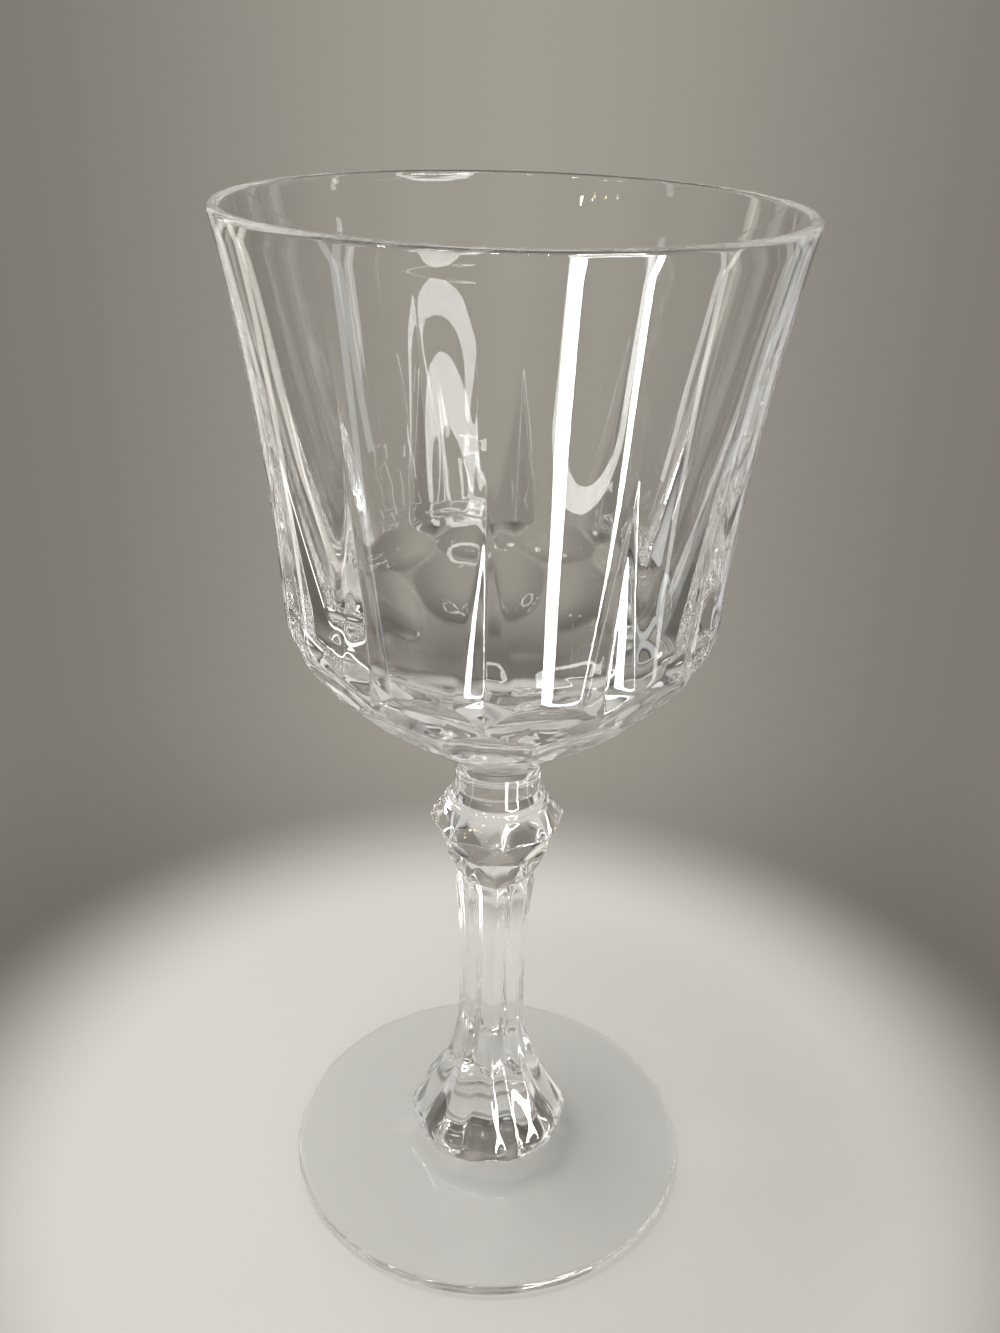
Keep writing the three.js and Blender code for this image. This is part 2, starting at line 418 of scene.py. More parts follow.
@dataclass(frozen=True)
class LampGlow:
    """A lit surface that only glass mirrors: light that has met the paper no longer counts.

    Attributes:
        name: Its name.
        strength: How bright it is; 1 is white.
        colour: The colour of its light.
        fade: How far in from its sides its light grows to the full, in metres, or None where it is even.
    """

    name: str
    strength: float
    colour: Colour = (1.0, 0.99, 0.97, 1.0)
    fade: Optional[float] = None

    def material(self, half_width: float) -> bpy.types.Material:
        """Makes the lit surface.

        Args:
            half_width: Half the width of what it lights, in metres, for the fade.

        Returns:
            A material that glows.
        """
        made, kit = fresh_material(self.name)
        scattered = kit.node("ShaderNodeLightPath", output="Diffuse Depth")
        strength = self.strength * (1 - scattered.clamped())
        if self.fade is not None:
            across = kit.axes(kit.place())[0].size()
            strength = strength * (1 - across.between(half_width - self.fade, half_width))
        light = kit.node("ShaderNodeEmission", sockets={"Color": self.colour, "Strength": strength})
        kit.node("ShaderNodeOutputMaterial", sockets={"Surface": light})
        return made


# Turned shapes


def mix(first: float, last: float, share: float) -> float:
    """A value part of the way from one to another."""
    return first + (last - first) * share


def kept(value: float, low: float = 0.0, high: float = 1.0) -> float:
    """A value kept between two limits."""
    return min(max(value, low), high)


def eased(value: float, low: float, high: float) -> float:
    """A smooth step from 0 at low to 1 at high."""
    share = kept((value - low) / (high - low))
    return share * share * (3 - 2 * share)


def ramped(value: float, softness: float) -> float:
    """A value where it is positive and 0 elsewhere, with a soft turn between."""
    return (value + math.hypot(value, softness)) / 2


def at(radius: float, height: float) -> Vector:
    """A point of an outline: its distance from the axis and its height."""
    return Vector((radius, height))


def guide(start: Vector, end: Vector, share: Share) -> Vector:
    """The guide point of a bend between two points of an outline."""
    return at(mix(start.x, end.x, share[0]), mix(start.y, end.y, share[1]))


def quadratic(start: Vector, middle: Vector, end: Vector, share: float) -> Vector:
    """A point on a curve with one guide point."""
    return start.lerp(middle, share).lerp(middle.lerp(end, share), share)


def shaped(mesh: bmesh.types.BMesh, name: str, finishes: Iterable[bpy.types.Material]) -> bpy.types.Object:
    """Makes an object of a mesh.

    Args:
        mesh: The finished shape, which this frees.
        name: The object's name.
        finishes: Its materials, in the order of their slots.

    Returns:
        The object, in the scene.
    """
    data = bpy.data.meshes.new(name)
    mesh.to_mesh(data)
    mesh.free()
    for finish in finishes:
        data.materials.append(finish)
    made = bpy.data.objects.new(name, data)
    bpy.context.scene.collection.objects.link(made)
    return made


class Outline:
    """Half of a piece's section, from the axis out and round, back to the axis."""

    def __init__(self, start: Vector) -> None:
        """Starts an outline at a point."""
        self.points = [start]

    @property
    def last(self) -> Vector:
        """The point that the outline has reached."""
        return self.points[-1]

    @property
    def reached(self) -> int:
        """The row of the point that the outline has reached."""
        return len(self.points) - 1

    def line(self, end: Vector, steps: int = 1) -> "Outline":
        """Goes straight on to a point.

        Args:
            end: Where the line ends.
            steps: How many points it gets.

        Returns:
            The outline.
        """
        start = self.last
        self.points += [start.lerp(end, (i + 1) / steps) for i in range(steps)]
        return self

    def bend(self, end: Vector, share: Share, steps: int) -> "Outline":
        """Goes to a point on a curve with one guide point.

        Args:
            end: Where the curve ends.
            share: Where its guide lies, as shares of the way across and up.
            steps: How many points it gets.

        Returns:
            The outline.
        """
        start, middle = self.last, guide(self.last, end, share)
        self.points += [quadratic(start, middle, end, (i + 1) / steps) for i in range(steps)]
        return self

    def sweep(self, end: Vector, first: Share, second: Share, steps: int) -> "Outline":
        """Goes to a point on a curve with two guide points.

        Args:
            end: Where the curve ends.
            first: Where its first guide lies, as shares of the way across and up.
            second: Where its second guide lies.
            steps: How many points it gets.

        Returns:
            The outline.
        """
        guides = (self.last, guide(self.last, end, first), guide(self.last, end, second), end)
        flat = interpolate_bezier(*[point.to_3d() for point in guides], steps + 1)
        self.points += [point.to_2d() for point in flat[1:]]
        return self

    def arc(self, centre: Vector, radius: float, start: float, end: float, steps: int) -> "Outline":
        """Goes round an arc, with its start left out.

        Args:
            centre: The arc's centre.
            radius: Its radius.
            start: The angle that it starts at, in degrees.
            end: The angle that it ends at.
            steps: How many points it gets.

        Returns:
            The outline.
        """
        for i in range(steps):
            angle = math.radians(mix(start, end, (i + 1) / steps))
            self.points.append(centre + radius * at(math.cos(angle), math.sin(angle)))
        return self

    def soften(self, toward: Vector, radius: float, steps: int) -> "Outline":
        """Rounds the corner that the outline has reached.

        Args:
            toward: The point that the outline goes to next.
            radius: How far from the corner the rounding starts and ends.
            steps: How many points it gets.

        Returns:
            The outline, at the rounding's end.
        """
        corner = self.points.pop()
        while (self.last - corner).length < radius:
            self.points.pop()
        start = corner + (self.last - corner).normalized() * radius
        end = corner + (toward - corner).normalized() * radius
        self.points += [quadratic(start, corner, end, i / steps) for i in range(steps + 1)]
        return self

    def outward(self) -> list[Vector]:
        """Finds the direction out of the glass at each point.

        Returns:
            One direction for each point, of length 1.
        """
        ends = [self.points[0], *self.points, self.points[-1]]
        along = [after - before for before, after in zip(ends, ends[2:])]
        return [at(step.y, -step.x).normalized() for step in along]


@dataclass
class Gather:
    """One gather of glass: a turned outline with repeated cuts.

    Attributes:
        node: The node of the frame that it stands for.
        glass: Its finish.
        weld: The finish of its fused faces.
        repeats: How many times its cuts go round.
        sharp_angle: How far two faces turn before the edge between them is sharp.
        merge_distance: How close two vertices are when they become one, in millimetres.
    """

    node: str
    glass: ClearGlass
    weld: FusedWeld
    repeats: int
    sharp_angle: ClassVar[float] = math.radians(38)
    merge_distance: ClassVar[float] = 1e-4

    def __post_init__(self) -> None:
        """Takes the gather's place and reach from the frame."""
        low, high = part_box(self.node)
        self.floor = low.z / MM
        self.height = (high.z - low.z) / MM
        self.reach = (high.x - low.x) / 2 / MM

    @property
    def half(self) -> float:
        """Half the angle of one repeat."""
        return math.pi / self.repeats

    def outline(self) -> Outline:
        """The gather's half section, standing on 0."""
        raise NotImplementedError

    def stations(self, row: int, point: Vector) -> list[float]:
        """The angles of one repeat's columns at a row, counted from the middle of the repeat."""
        raise NotImplementedError

    def depth(self, row: int, point: Vector, off_middle: float) -> float:
        """How far the cuts go in at a row, at an angle off the middle of a repeat."""
        raise NotImplementedError

    def first_angle(self) -> float:
        """The angle of the middle of the first repeat."""
        return PATTERN_TURN

    def welded(self, outline: Outline) -> Rows:
        """The pairs of rows that span the gather's fused faces."""
        raise NotImplementedError

    def build(self) -> bpy.types.Object:
        """Turns, cuts and dresses the gather.

        Returns:
            The finished piece, riding on its body.
        """
        outline = self.outline()
        mesh = bmesh.new()
        rows = mesh.verts.layers.int.new("row")
        per_repeat = len(self.stations(0, outline.points[0]))
        self._turn(mesh, rows, outline, per_repeat)
        self._cut(mesh, rows, outline, per_repeat)
        self._dress(mesh, rows, outline)
        bmesh.ops.translate(mesh, verts=mesh.verts, vec=(0.0, 0.0, self.floor))
        bmesh.ops.scale(mesh, verts=mesh.verts, vec=(MM, MM, MM))
        piece = shaped(mesh, f"{self.node}_gather", (self.glass.material(), self.weld.material()))
        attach(piece, BODY)
        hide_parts(self.node)
        return piece

    def _turn(self, mesh: bmesh.types.BMesh, rows: Any, outline: Outline, per_repeat: int) -> None:
        """Spins the outline through one repeat, and the repeat all the way round, into a closed surface.

        Args:
            mesh: The mesh that it goes into.
            rows: The layer that keeps each vertex's place along the outline.
            outline: The outline.
            per_repeat: How many columns a repeat has.
        """
        verts = [mesh.verts.new((point.x, 0.0, point.y)) for point in outline.points]
        for row, vert in enumerate(verts):
            vert[rows] = row
        edges = [mesh.edges.new(pair) for pair in zip(verts, verts[1:])]
        pitch = 2 * self.half
        about = {"cent": (0.0, 0.0, 0.0), "axis": (0.0, 0.0, 1.0), "dvec": (0.0, 0.0, 0.0)}
        bmesh.ops.spin(mesh, geom=verts + edges, angle=pitch, steps=per_repeat, **about)
        about["use_duplicate"] = True
        repeat = [*mesh.verts, *mesh.edges, *mesh.faces]
        others = self.repeats - 1
        bmesh.ops.spin(mesh, geom=repeat, angle=pitch * others, steps=others, **about)
        bmesh.ops.remove_doubles(mesh, verts=mesh.verts, dist=self.merge_distance)
        bmesh.ops.recalc_face_normals(mesh, faces=mesh.faces)

    def _cut(self, mesh: bmesh.types.BMesh, rows: Any, outline: Outline, per_repeat: int) -> None:
        """Moves each vertex to its column's angle and in by the depth of the cuts.

        Args:
            mesh: The turned surface.
            rows: The layer that keeps each vertex's place along the outline.
            outline: The outline.
            per_repeat: How many columns a repeat has.
        """
        pitch = 2 * self.half
        cuts = []
        for row, (point, out) in enumerate(zip(outline.points, outline.outward())):
            repeat = []
            for angle in self.stations(row, point):
                off_middle = abs(angle - pitch * round(angle / pitch))
                repeat.append((angle, point - out * self.depth(row, point, off_middle)))
            cuts.append(repeat)
        step = pitch / per_repeat
        for vert in mesh.verts:
            if math.hypot(vert.co.x, vert.co.y) < self.merge_distance:
                continue
            column = round(math.atan2(vert.co.y, vert.co.x) / step) % (per_repeat * self.repeats)
            local, point = cuts[vert[rows]][column % per_repeat]
            angle = self.first_angle() + pitch * (column // per_repeat) + local
            vert.co = (point.x * math.sin(angle), -point.x * math.cos(angle), point.y)

    def _dress(self, mesh: bmesh.types.BMesh, rows: Any, outline: Outline) -> None:
        """Gives fused faces their own finish, and shades the rest smooth but for its sharp edges.

        Args:
            mesh: The cut surface.
            rows: The layer that keeps each vertex's place along the outline.
            outline: The outline.
        """
        welded = self.welded(outline)
        for face in mesh.faces:
            face.smooth = True
            reached = [vert[rows] for vert in face.verts]
            if any(low <= min(reached) and max(reached) <= high for low, high in welded):
                face.material_index = 1
        for edge in mesh.edges:
            edge.smooth = edge.calc_face_angle(0.0) < self.sharp_angle


@dataclass
class Bowl(Gather):
    """The flared cup: a button, two rows of ovals, pointed darts and a round lip. Sizes in millimetres."""

    neck_radius: float = 7.1
    button_length: float = 1.2
    button_fillet: float = 1.8
    under_height: float = 25.0
    under_low_bend: Share = (0.27, 0.27)
    under_high_bend: Share = (0.85, 0.55)
    corner_radius: float = 33.2
    corner_rounding: float = 2.0
    dart_height: float = 29.0
    dart_half_angle: float = math.radians(7.1)
    dart_depth: float = 1.6
    dart_runout: float = 3.0
    dart_edge: float = 0.7
    dart_valley: float = 0.12
    wall_guide_radius: float = 34.6
    rim_wall: float = 1.7
    middle_wall: float = 2.4
    corner_wall: float = 5.0
    floor_thickness: float = 11.0
    inner_corner_bend: Share = (0.0, 0.42)
    inner_floor_bend: Share = (0.43, 1.0)
    upper_oval_height: float = 7.5
    upper_oval_depth: float = 1.3
    lower_oval_height: float = 10.0
    lower_oval_depth: float = 1.2
    oval_overlap: float = 1.5
    narrowest_dart: float = 0.06
    dart_columns: int = 12
    panel_columns: int = 9
    button_bend: ClassVar[Share] = (0.0, 0.5)
    button_steps: ClassVar[int] = 2
    fillet_steps: ClassVar[int] = 5
    under_steps: ClassVar[int] = 64
    corner_steps: ClassVar[int] = 9
    dart_steps: ClassVar[int] = 26
    plain_steps: ClassVar[int] = 14
    lip_steps: ClassVar[int] = 14
    inside_steps: ClassVar[int] = 22
    floor_steps: ClassVar[int] = 26

    def __post_init__(self) -> None:
        """Works out the levels of the wall."""
        super().__post_init__()
        self.button_top = self.button_length + self.button_fillet
        self.corner = self.button_top + self.under_height
        self.dart_tip = self.corner + self.dart_height
        self.lip = self.height - self.rim_wall / 2
        self.outside_rows = 0

    def first_angle(self) -> float:
        """The middle of a plain panel, half a repeat short of a dart."""
        return PATTERN_TURN - self.half

    def wall(self, height: float) -> Vector:
        """Finds a point on the outside of the wall.

        Args:
            height: How high it lies over the gather's floor.

        Returns:
            The point.
        """
        start, end = at(self.corner_radius, self.corner), at(self.reach, self.lip)
        middle = at(self.wall_guide_radius, (self.corner + self.lip) / 2)
        return quadratic(start, middle, end, (height - self.corner) / (self.lip - self.corner))

    def outline(self) -> Outline:
        """Draws the cup's half section, from the weld out over the wall and back down inside.

        Returns:
            The outline.
        """
        fillet_top = at(self.neck_radius + self.button_fillet / 2, self.button_top)
        made = Outline(at(0.0, 0.0)).line(at(self.neck_radius, 0.0))
        made.line(at(self.neck_radius, self.button_length), self.button_steps)
        made.bend(fillet_top, self.button_bend, self.fillet_steps)
        made.sweep(self.wall(self.corner), self.under_low_bend, self.under_high_bend, self.under_steps)
        above_corner = self.wall(self.corner + self.corner_rounding)
        made.soften(above_corner, self.corner_rounding, self.corner_steps)
        for level, steps in ((self.dart_tip, self.dart_steps), (self.lip, self.plain_steps)):
            start = made.last.y
            made.points += [self.wall(mix(start, level, (i + 1) / steps)) for i in range(steps)]
        self.outside_rows = len(made.points)
        lip_centre = at(self.reach - self.rim_wall / 2, self.lip)
        made.arc(lip_centre, self.rim_wall / 2, 0.0, 180.0, self.lip_steps)
        start = made.last
        inner_corner = at(self.corner_radius - self.corner_wall, self.corner + self.corner_wall)
        inner_middle = self.wall(self.dart_tip).x - self.middle_wall
        bulge = at(2 * inner_middle - (start.x + inner_corner.x) / 2, self.dart_tip)
        shares = [(i + 1) / self.inside_steps for i in range(self.inside_steps)]
        made.points += [quadratic(start, bulge, inner_corner, share) for share in shares]
        floor_middle = at(0.0, self.floor_thickness)
        return made.sweep(floor_middle, self.inner_corner_bend, self.inner_floor_bend, self.floor_steps)

    def dart_share(self, height: float) -> float:
        """How wide and deep a dart still is at a height, below zero over its tip."""
        return min((self.dart_tip - height) / self.dart_height, 1.0)

    def stations(self, row: int, point: Vector) -> list[float]:
        """Sets the columns along the edges of the darts, closest together at their edges and valleys.

        Args:
            row: The place along the outline.
            point: The point of the outline there.

        Returns:
            The angles of the columns.
        """
        share = kept(self.dart_share(point.y))
        dart = max(self.dart_half_angle * share, self.narrowest_dart * self.half)
        edge = self.half - dart
        panel_turns = [math.pi / 2 * i / self.panel_columns for i in range(self.panel_columns + 1)]
        dart_turns = [math.pi * (i + 1) / self.dart_columns for i in range(self.dart_columns)]
        panel = [edge * math.sin(turn) for turn in panel_turns]
        right = panel + [edge + dart * (1 - math.cos(turn)) / 2 for turn in dart_turns]
        left = [-angle for angle in panel[:0:-1]]
        beyond = [2 * self.half - angle for angle in right[self.panel_columns + 1:-1][::-1]]
        return left + right + beyond

    def depth(self, row: int, point: Vector, off_middle: float) -> float:
        """Cuts darts over the wall and ovals under it.

        Args:
            row: The place along the outline.
            point: The point of the outline there.
            off_middle: The angle off the middle of a panel.

        Returns:
            How deep the cuts are.
        """
        if row >= self.outside_rows or point.y <= self.button_top:
            return 0.0
        dart = self._dart(point, self.half - off_middle)
        if point.y > self.corner:
            return dart
        across = off_middle / self.half
        upper_half, lower_half = self.upper_oval_height / 2, self.lower_oval_height / 2
        upper_middle = self.corner - upper_half
        lower_middle = upper_middle - upper_half + self.oval_overlap - lower_half
        upper = self._oval(across, (point.y - upper_middle) / upper_half)
        lower = self._oval(1 - across, (point.y - lower_middle) / lower_half)
        return max(dart, self.upper_oval_depth * upper, self.lower_oval_depth * lower)

    def _dart(self, point: Vector, off_dart: float) -> float:
        """Cuts a vee that narrows and rises from the corner to its tip.

        Args:
            point: The point of the outline.
            off_dart: The angle off the middle of the dart.

        Returns:
            How deep the vee is.
        """
        fade = kept(1 - (self.corner - point.y) / self.dart_runout)
        width = self.corner_radius * self.dart_half_angle
        inside = width * self.dart_share(point.y) - math.hypot(point.x * off_dart, self.dart_valley)
        return fade * self.dart_depth / width * ramped(inside, self.dart_edge)

    @staticmethod
    def _oval(across: float, along: float) -> float:
        """The depth of a dished oval as a share; both distances are shares of its half sizes."""
        return max(0.0, 1 - across ** 2 - along ** 2)

    def welded(self, outline: Outline) -> Rows:
        """The face under the button."""
        return [(0, 1)]


@dataclass
class Stem(Gather):
    """The pressed leg: lobed base, eight flutes, knop with two rings of points, round neck. Sizes in mm."""

    base_rounding: float = 2.4
    base_edge_height: float = 3.3
    flare_length: float = 23.7
    leg_radius: float = 5.9
    leg_length: float = 26.0
    leg_top_radius: float = 6.8
    collar_length: float = 3.0
    waist_radius: float = 6.35
    tier_length: float = 6.2
    tier_radius: float = 9.0
    knop_under_length: float = 4.8
    knop_radius: float = 11.5
    knop_top_length: float = 3.5
    knop_edge: float = 0.5
    shoulder_radius: float = 8.5
    shoulder_length: float = 3.0
    neck_radius: float = 7.1
    flute_hollow: float = 0.45
    flute_runout: float = 2.0
    flute_ridge: float = 0.05
    facet_edge: float = 0.008
    lobe_depth: float = 1.5
    lobe_height: float = 15.0
    lobe_crease: float = 0.05
    flare_bend: Share = (0.04, 0.13)
    ankle_bend: Share = (0.96, 0.41)
    leg_bend: Share = (-0.45, 0.58)
    tier_bend: Share = (1.0, 0.6)
    knop_bend: Share = (0.08, 0.5)
    shoulder_bend: Share = (1.0, 0.4)
    base_radius: float = 14.2
    flute_columns: int = 32
    toe_bend: ClassVar[Share] = (1.0, 0.0)
    collar_bend: ClassVar[Share] = (0.0, 0.5)
    toe_steps: ClassVar[int] = 10
    flare_steps: ClassVar[int] = 44
    leg_steps: ClassVar[int] = 30
    collar_steps: ClassVar[int] = 10
    tier_steps: ClassVar[int] = 30
    knop_steps: ClassVar[int] = 26
    knop_edge_steps: ClassVar[int] = 6
    knop_top_steps: ClassVar[int] = 8
    shoulder_edge_steps: ClassVar[int] = 3
    shoulder_steps: ClassVar[int] = 12
    neck_steps: ClassVar[int] = 4

    def __post_init__(self) -> None:
        """Works out the levels of the leg."""
        super().__post_init__()
        self.leg_bottom = self.base_edge_height + self.flare_length
        self.leg_top = self.leg_bottom + self.leg_length
        self.waist = self.leg_top + self.collar_length
        self.tier = self.waist + self.tier_length
        self.knop = self.tier + self.knop_under_length
        self.shoulder = self.knop + self.knop_top_length
        self.neck = self.shoulder + self.shoulder_length

    def outline(self) -> Outline:
        """Draws the leg's half section, from the weld on the foot to the weld under the bowl.

        Returns:
            The outline.
        """
        toe = at(self.base_radius, self.base_edge_height)
        ankle = at(self.leg_radius, self.leg_bottom)
        shoulder = at(self.shoulder_radius, self.shoulder)
        over_shoulder = at(self.neck_radius, self.shoulder + self.knop_edge)
        made = Outline(at(0.0, 0.0)).line(at(self.base_radius - self.base_rounding, 0.0))
        made.bend(toe, self.toe_bend, self.toe_steps)
        made.sweep(ankle, self.flare_bend, self.ankle_bend, self.flare_steps)
        made.bend(at(self.leg_top_radius, self.leg_top), self.leg_bend, self.leg_steps)
        made.bend(at(self.waist_radius, self.waist), self.collar_bend, self.collar_steps)
        made.bend(at(self.tier_radius, self.tier), self.tier_bend, self.tier_steps)
        made.bend(at(self.knop_radius, self.knop), self.knop_bend, self.knop_steps)
        made.soften(shoulder, self.knop_edge, self.knop_edge_steps)
        made.line(shoulder, self.knop_top_steps)
        made.soften(over_shoulder, self.knop_edge / 2, self.shoulder_edge_steps)
        made.bend(at(self.neck_radius, self.neck), self.shoulder_bend, self.shoulder_steps)
        made.line(at(self.neck_radius, self.height), self.neck_steps)
        return made.line(at(0.0, self.height))

    def stations(self, row: int, point: Vector) -> list[float]:
        """Sets the columns closest together at the ridges between flutes, and evenly on the knop.

        Args:
            row: The place along the outline.
            point: The point of the outline there.

        Returns:
            The angles of the columns.
        """
        shares = [2 * i / self.flute_columns - 1 for i in range(self.flute_columns)]
        if point.y > self.waist:
            return [self.half * share for share in shares]
        return [self.half * math.sin(math.pi / 2 * share) for share in shares]

    def depth(self, row: int, point: Vector, off_middle: float) -> float:
        """Cuts faces on the knop, flutes down the leg and creases between the lobes of the base.

        Args:
            row: The place along the outline.
            point: The point of the outline there.
            off_middle: The angle off the middle of a flute.

        Returns:
            How deep the cuts are.
        """
        height = point.y
        if self.waist < height < self.tier:
            return self._facets(point.x, off_middle, (self.tier - height) / self.tier_length)
        if self.tier <= height < self.knop:
            return self._facets(point.x, off_middle, (height - self.tier) / self.knop_under_length)
        if height >= self.knop:
            corners = 1 - eased(height, self.knop, self.shoulder)
            return corners * self._facets(point.x, off_middle, 1.0)
        flats = eased(height, self.base_edge_height, self._lobe_top)
        hollow = flats * (1 - eased(height, self.waist - self.flute_runout, self.waist))
        lobes = eased(height, 0.0, self.base_edge_height) * (1 - flats)
        crease = 1 - math.sin(math.pi / 2 * self._rounded(off_middle, self.lobe_crease) / self.half)
        return (
            flats * self._facets(point.x, off_middle, 1.0)
            + hollow * self.flute_hollow * (1 - (off_middle / self.half) ** 2)
            + lobes * self.lobe_depth * crease
        )

    @property
    def _lobe_top(self) -> float:
        """Where the lobes of the base have run out into the flutes."""
        return self.base_edge_height + self.lobe_height

    def _rounded(self, off: float, share: float) -> float:
        """An angle off an edge, with the edge itself rounded over a share of a repeat."""
        radius = share * self.half * 2
        return min(math.hypot(off, radius), self.half)

    def _facets(self, radius: float, off_middle: float, turn: float) -> float:
        """How far flat faces lie inside a round section.

        Args:
            radius: The radius of the section.
            off_middle: The angle off the middle of a flute.
            turn: 1 where the corners stand over the ridges, 0 where they stand over the flutes, and between
                them where three-cornered faces run from the one ring of corners to the other.

        Returns:
            The depth.
        """
        off_ridge = self._rounded(self.half - off_middle, self.flute_ridge)
        off_flute = self._rounded(off_middle, self.flute_ridge)
        over_flute = mix(1.0, math.cos(self.half), turn) / math.cos(self.half - off_ridge)
        over_ridge = mix(math.cos(self.half), 1.0, turn) / math.cos(self.half - off_flute)
        nearer = (over_flute + over_ridge - math.hypot(over_flute - over_ridge, self.facet_edge)) / 2
        return radius * (1 - nearer)

    def welded(self, outline: Outline) -> Rows:
        """The faces at both ends."""
        return [(0, 1), (outline.reached - 1, outline.reached)]


@dataclass
class Foot(Gather):
    """The round foot: flat on a ring, hollow in its middle and rising to the leg. Sizes in millimetres."""

    edge_thickness: float = 2.4
    ring_width: float = 15.6
    hollow_depth: float = 1.2
    weld_radius: float = 11.8
    top_bend: Share = (0.58, 0.2)
    columns: int = 24
    hollow_bend: ClassVar[Share] = (0.5, 0.0)
    hollow_steps: ClassVar[int] = 10
    ring_steps: ClassVar[int] = 4
    edge_steps: ClassVar[int] = 16
    top_steps: ClassVar[int] = 20

    def outline(self) -> Outline:
        """Draws the foot's half section, from the hollow out round the edge and up to the weld.

        Returns:
            The outline.
        """
        edge = self.edge_thickness / 2
        centre = at(self.reach - edge, edge)
        made = Outline(at(0.0, self.hollow_depth))
        made.bend(at(centre.x - self.ring_width, 0.0), self.hollow_bend, self.hollow_steps)
        made.line(at(centre.x, 0.0), self.ring_steps)
        made.arc(centre, edge, -90.0, 90.0, self.edge_steps)
        made.bend(at(self.weld_radius, self.height), self.top_bend, self.top_steps)
        return made.line(at(0.0, self.height))

    def stations(self, row: int, point: Vector) -> list[float]:
        """Even columns."""
        return [self.half * (2 * i / self.columns - 1) for i in range(self.columns)]

    def depth(self, row: int, point: Vector, off_middle: float) -> float:
        """The foot is plain."""
        return 0.0

    def welded(self, outline: Outline) -> Rows:
        """The face on top, under the leg."""
        return [(outline.reached - 1, outline.reached)]


# Studio


def hung(
    mesh: bmesh.types.BMesh,
    glow: LampGlow,
    angle: float,
    distance: float,
    half_width: float = 0.0,
) -> bpy.types.Object:
    """Hangs a lit shape round the goblet, where only glass sees it.

    Args:
        mesh: The shape, upright and facing along Y, which this frees.
        glow: Its light.
        angle: Where it hangs round the goblet, in degrees from the front towards the right.
        distance: How far from the axis, in metres.
        half_width: Half its width, in metres, where its light fades to its sides.

    Returns:
        The lamp, on the stage.
    """
    lamp = shaped(mesh, glow.name, [glow.material(half_width)])
    turn = Matrix.Rotation(math.radians(angle), 4, "Z")
    lamp.matrix_world = turn @ Matrix.Translation((0.0, -distance, 0.0))
    lamp.visible_camera = False
    lamp.visible_diffuse = False
    lamp.visible_shadow = False
    return lamp


@dataclass
class LoopLamp:
    """A tall loop of light tube, which the bowl mirrors as a long U. Sizes in metres.

    Attributes:
        glow: Its light.
        angle: Where it stands round the goblet, in degrees.
        distance: How far from the axis.
        half_width: Half its width at the middle of its tube.
        bottom: The height of the lowest middle of its tube.
        top: The height of the highest.
        tube: How wide its lit face is.
        low_rise: How tall its round lower end is.
        low_share: How wide the tube is there, as a share of its width.
        high_rise: How tall its upper end is.
        high_share: How wide the tube is there.
        slim: How much slimmer than the tube its right arm is, and how much wider its left.
        tilt: How far it leans to one side, in degrees.
        arc_steps: How many steps each of its round ends has.
    """

    glow: LampGlow
    angle: float
    distance: float
    half_width: float
    bottom: float
    top: float
    tube: float
    low_rise: float
    low_share: float
    high_rise: float
    high_share: float
    slim: float = 0.0
    tilt: float = 0.0
    arc_steps: ClassVar[int] = 16

    def build(self) -> bpy.types.Object:
        """Makes the loop as a flat lit band.

        Returns:
            The loop, on the stage and out of the camera's sight.
        """
        mesh = bmesh.new()
        inner = self._ring(mesh, -self.tube / 2, self.slim)
        outer = self._ring(mesh, self.tube / 2, 0.0)
        bmesh.ops.bridge_loops(mesh, edges=inner + outer)
        middle = (0.0, 0.0, (self.top + self.bottom) / 2)
        turn = Matrix.Rotation(math.radians(self.tilt), 3, "Y")
        bmesh.ops.rotate(mesh, verts=mesh.verts, cent=middle, matrix=turn)
        return hung(mesh, self.glow, self.angle, self.distance)

    def _ring(self, mesh: bmesh.types.BMesh, spread: float, shift: float) -> list[bmesh.types.BMEdge]:
        """One edge of the band, round a long oval.

        Args:
            mesh: The mesh that it goes into.
            spread: How far it lies outside the middle of the tube.
            shift: How far it is moved to one side.

        Returns:
            Its edges.
        """
        radius = self.half_width + spread
        ends = (
            (self.top - self.high_rise, 0.0, self.high_rise + spread * self.high_share),
            (self.bottom + self.low_rise, math.pi, self.low_rise + spread * self.low_share),
        )
        verts = []
        for level, start, rise in ends:
            for i in range(self.arc_steps + 1):
                angle = start + math.pi * i / self.arc_steps
                across = radius * math.cos(angle) + shift
                verts.append(mesh.verts.new((across, 0.0, level + rise * math.sin(angle))))
        return [mesh.edges.new(pair) for pair in zip(verts, verts[1:] + verts[:1])]


@dataclass
class Window:
    """A tall lit panel that faces the goblet. Sizes in metres.

    Attributes:
        glow: Its light.
        angle: Where it stands round the goblet, in degrees.
        distance: How far from the axis.
        width: How wide it is.
        bottom: The height of its lower end.
        top: The height of its upper end.
    """

    glow: LampGlow
    angle: float
    distance: float
    width: float
    bottom: float = -0.3
    top: float = 0.45

    def build(self) -> bpy.types.Object:
        """Makes the panel.

        Returns:
            The panel, on the stage and out of the camera's sight.
        """
        mesh = bmesh.new()
        bmesh.ops.create_grid(mesh, x_segments=1, y_segments=1, size=0.5)
        bmesh.ops.scale(mesh, verts=mesh.verts, vec=(self.width, self.top - self.bottom, 1.0))
        bmesh.ops.rotate(mesh, verts=mesh.verts, matrix=Matrix.Rotation(math.pi / 2, 3, "X"))
        middle = (0.0, 0.0, (self.top + self.bottom) / 2)
        bmesh.ops.translate(mesh, verts=mesh.verts, vec=middle)
        return hung(mesh, self.glow, self.angle, self.distance, self.width / 2)


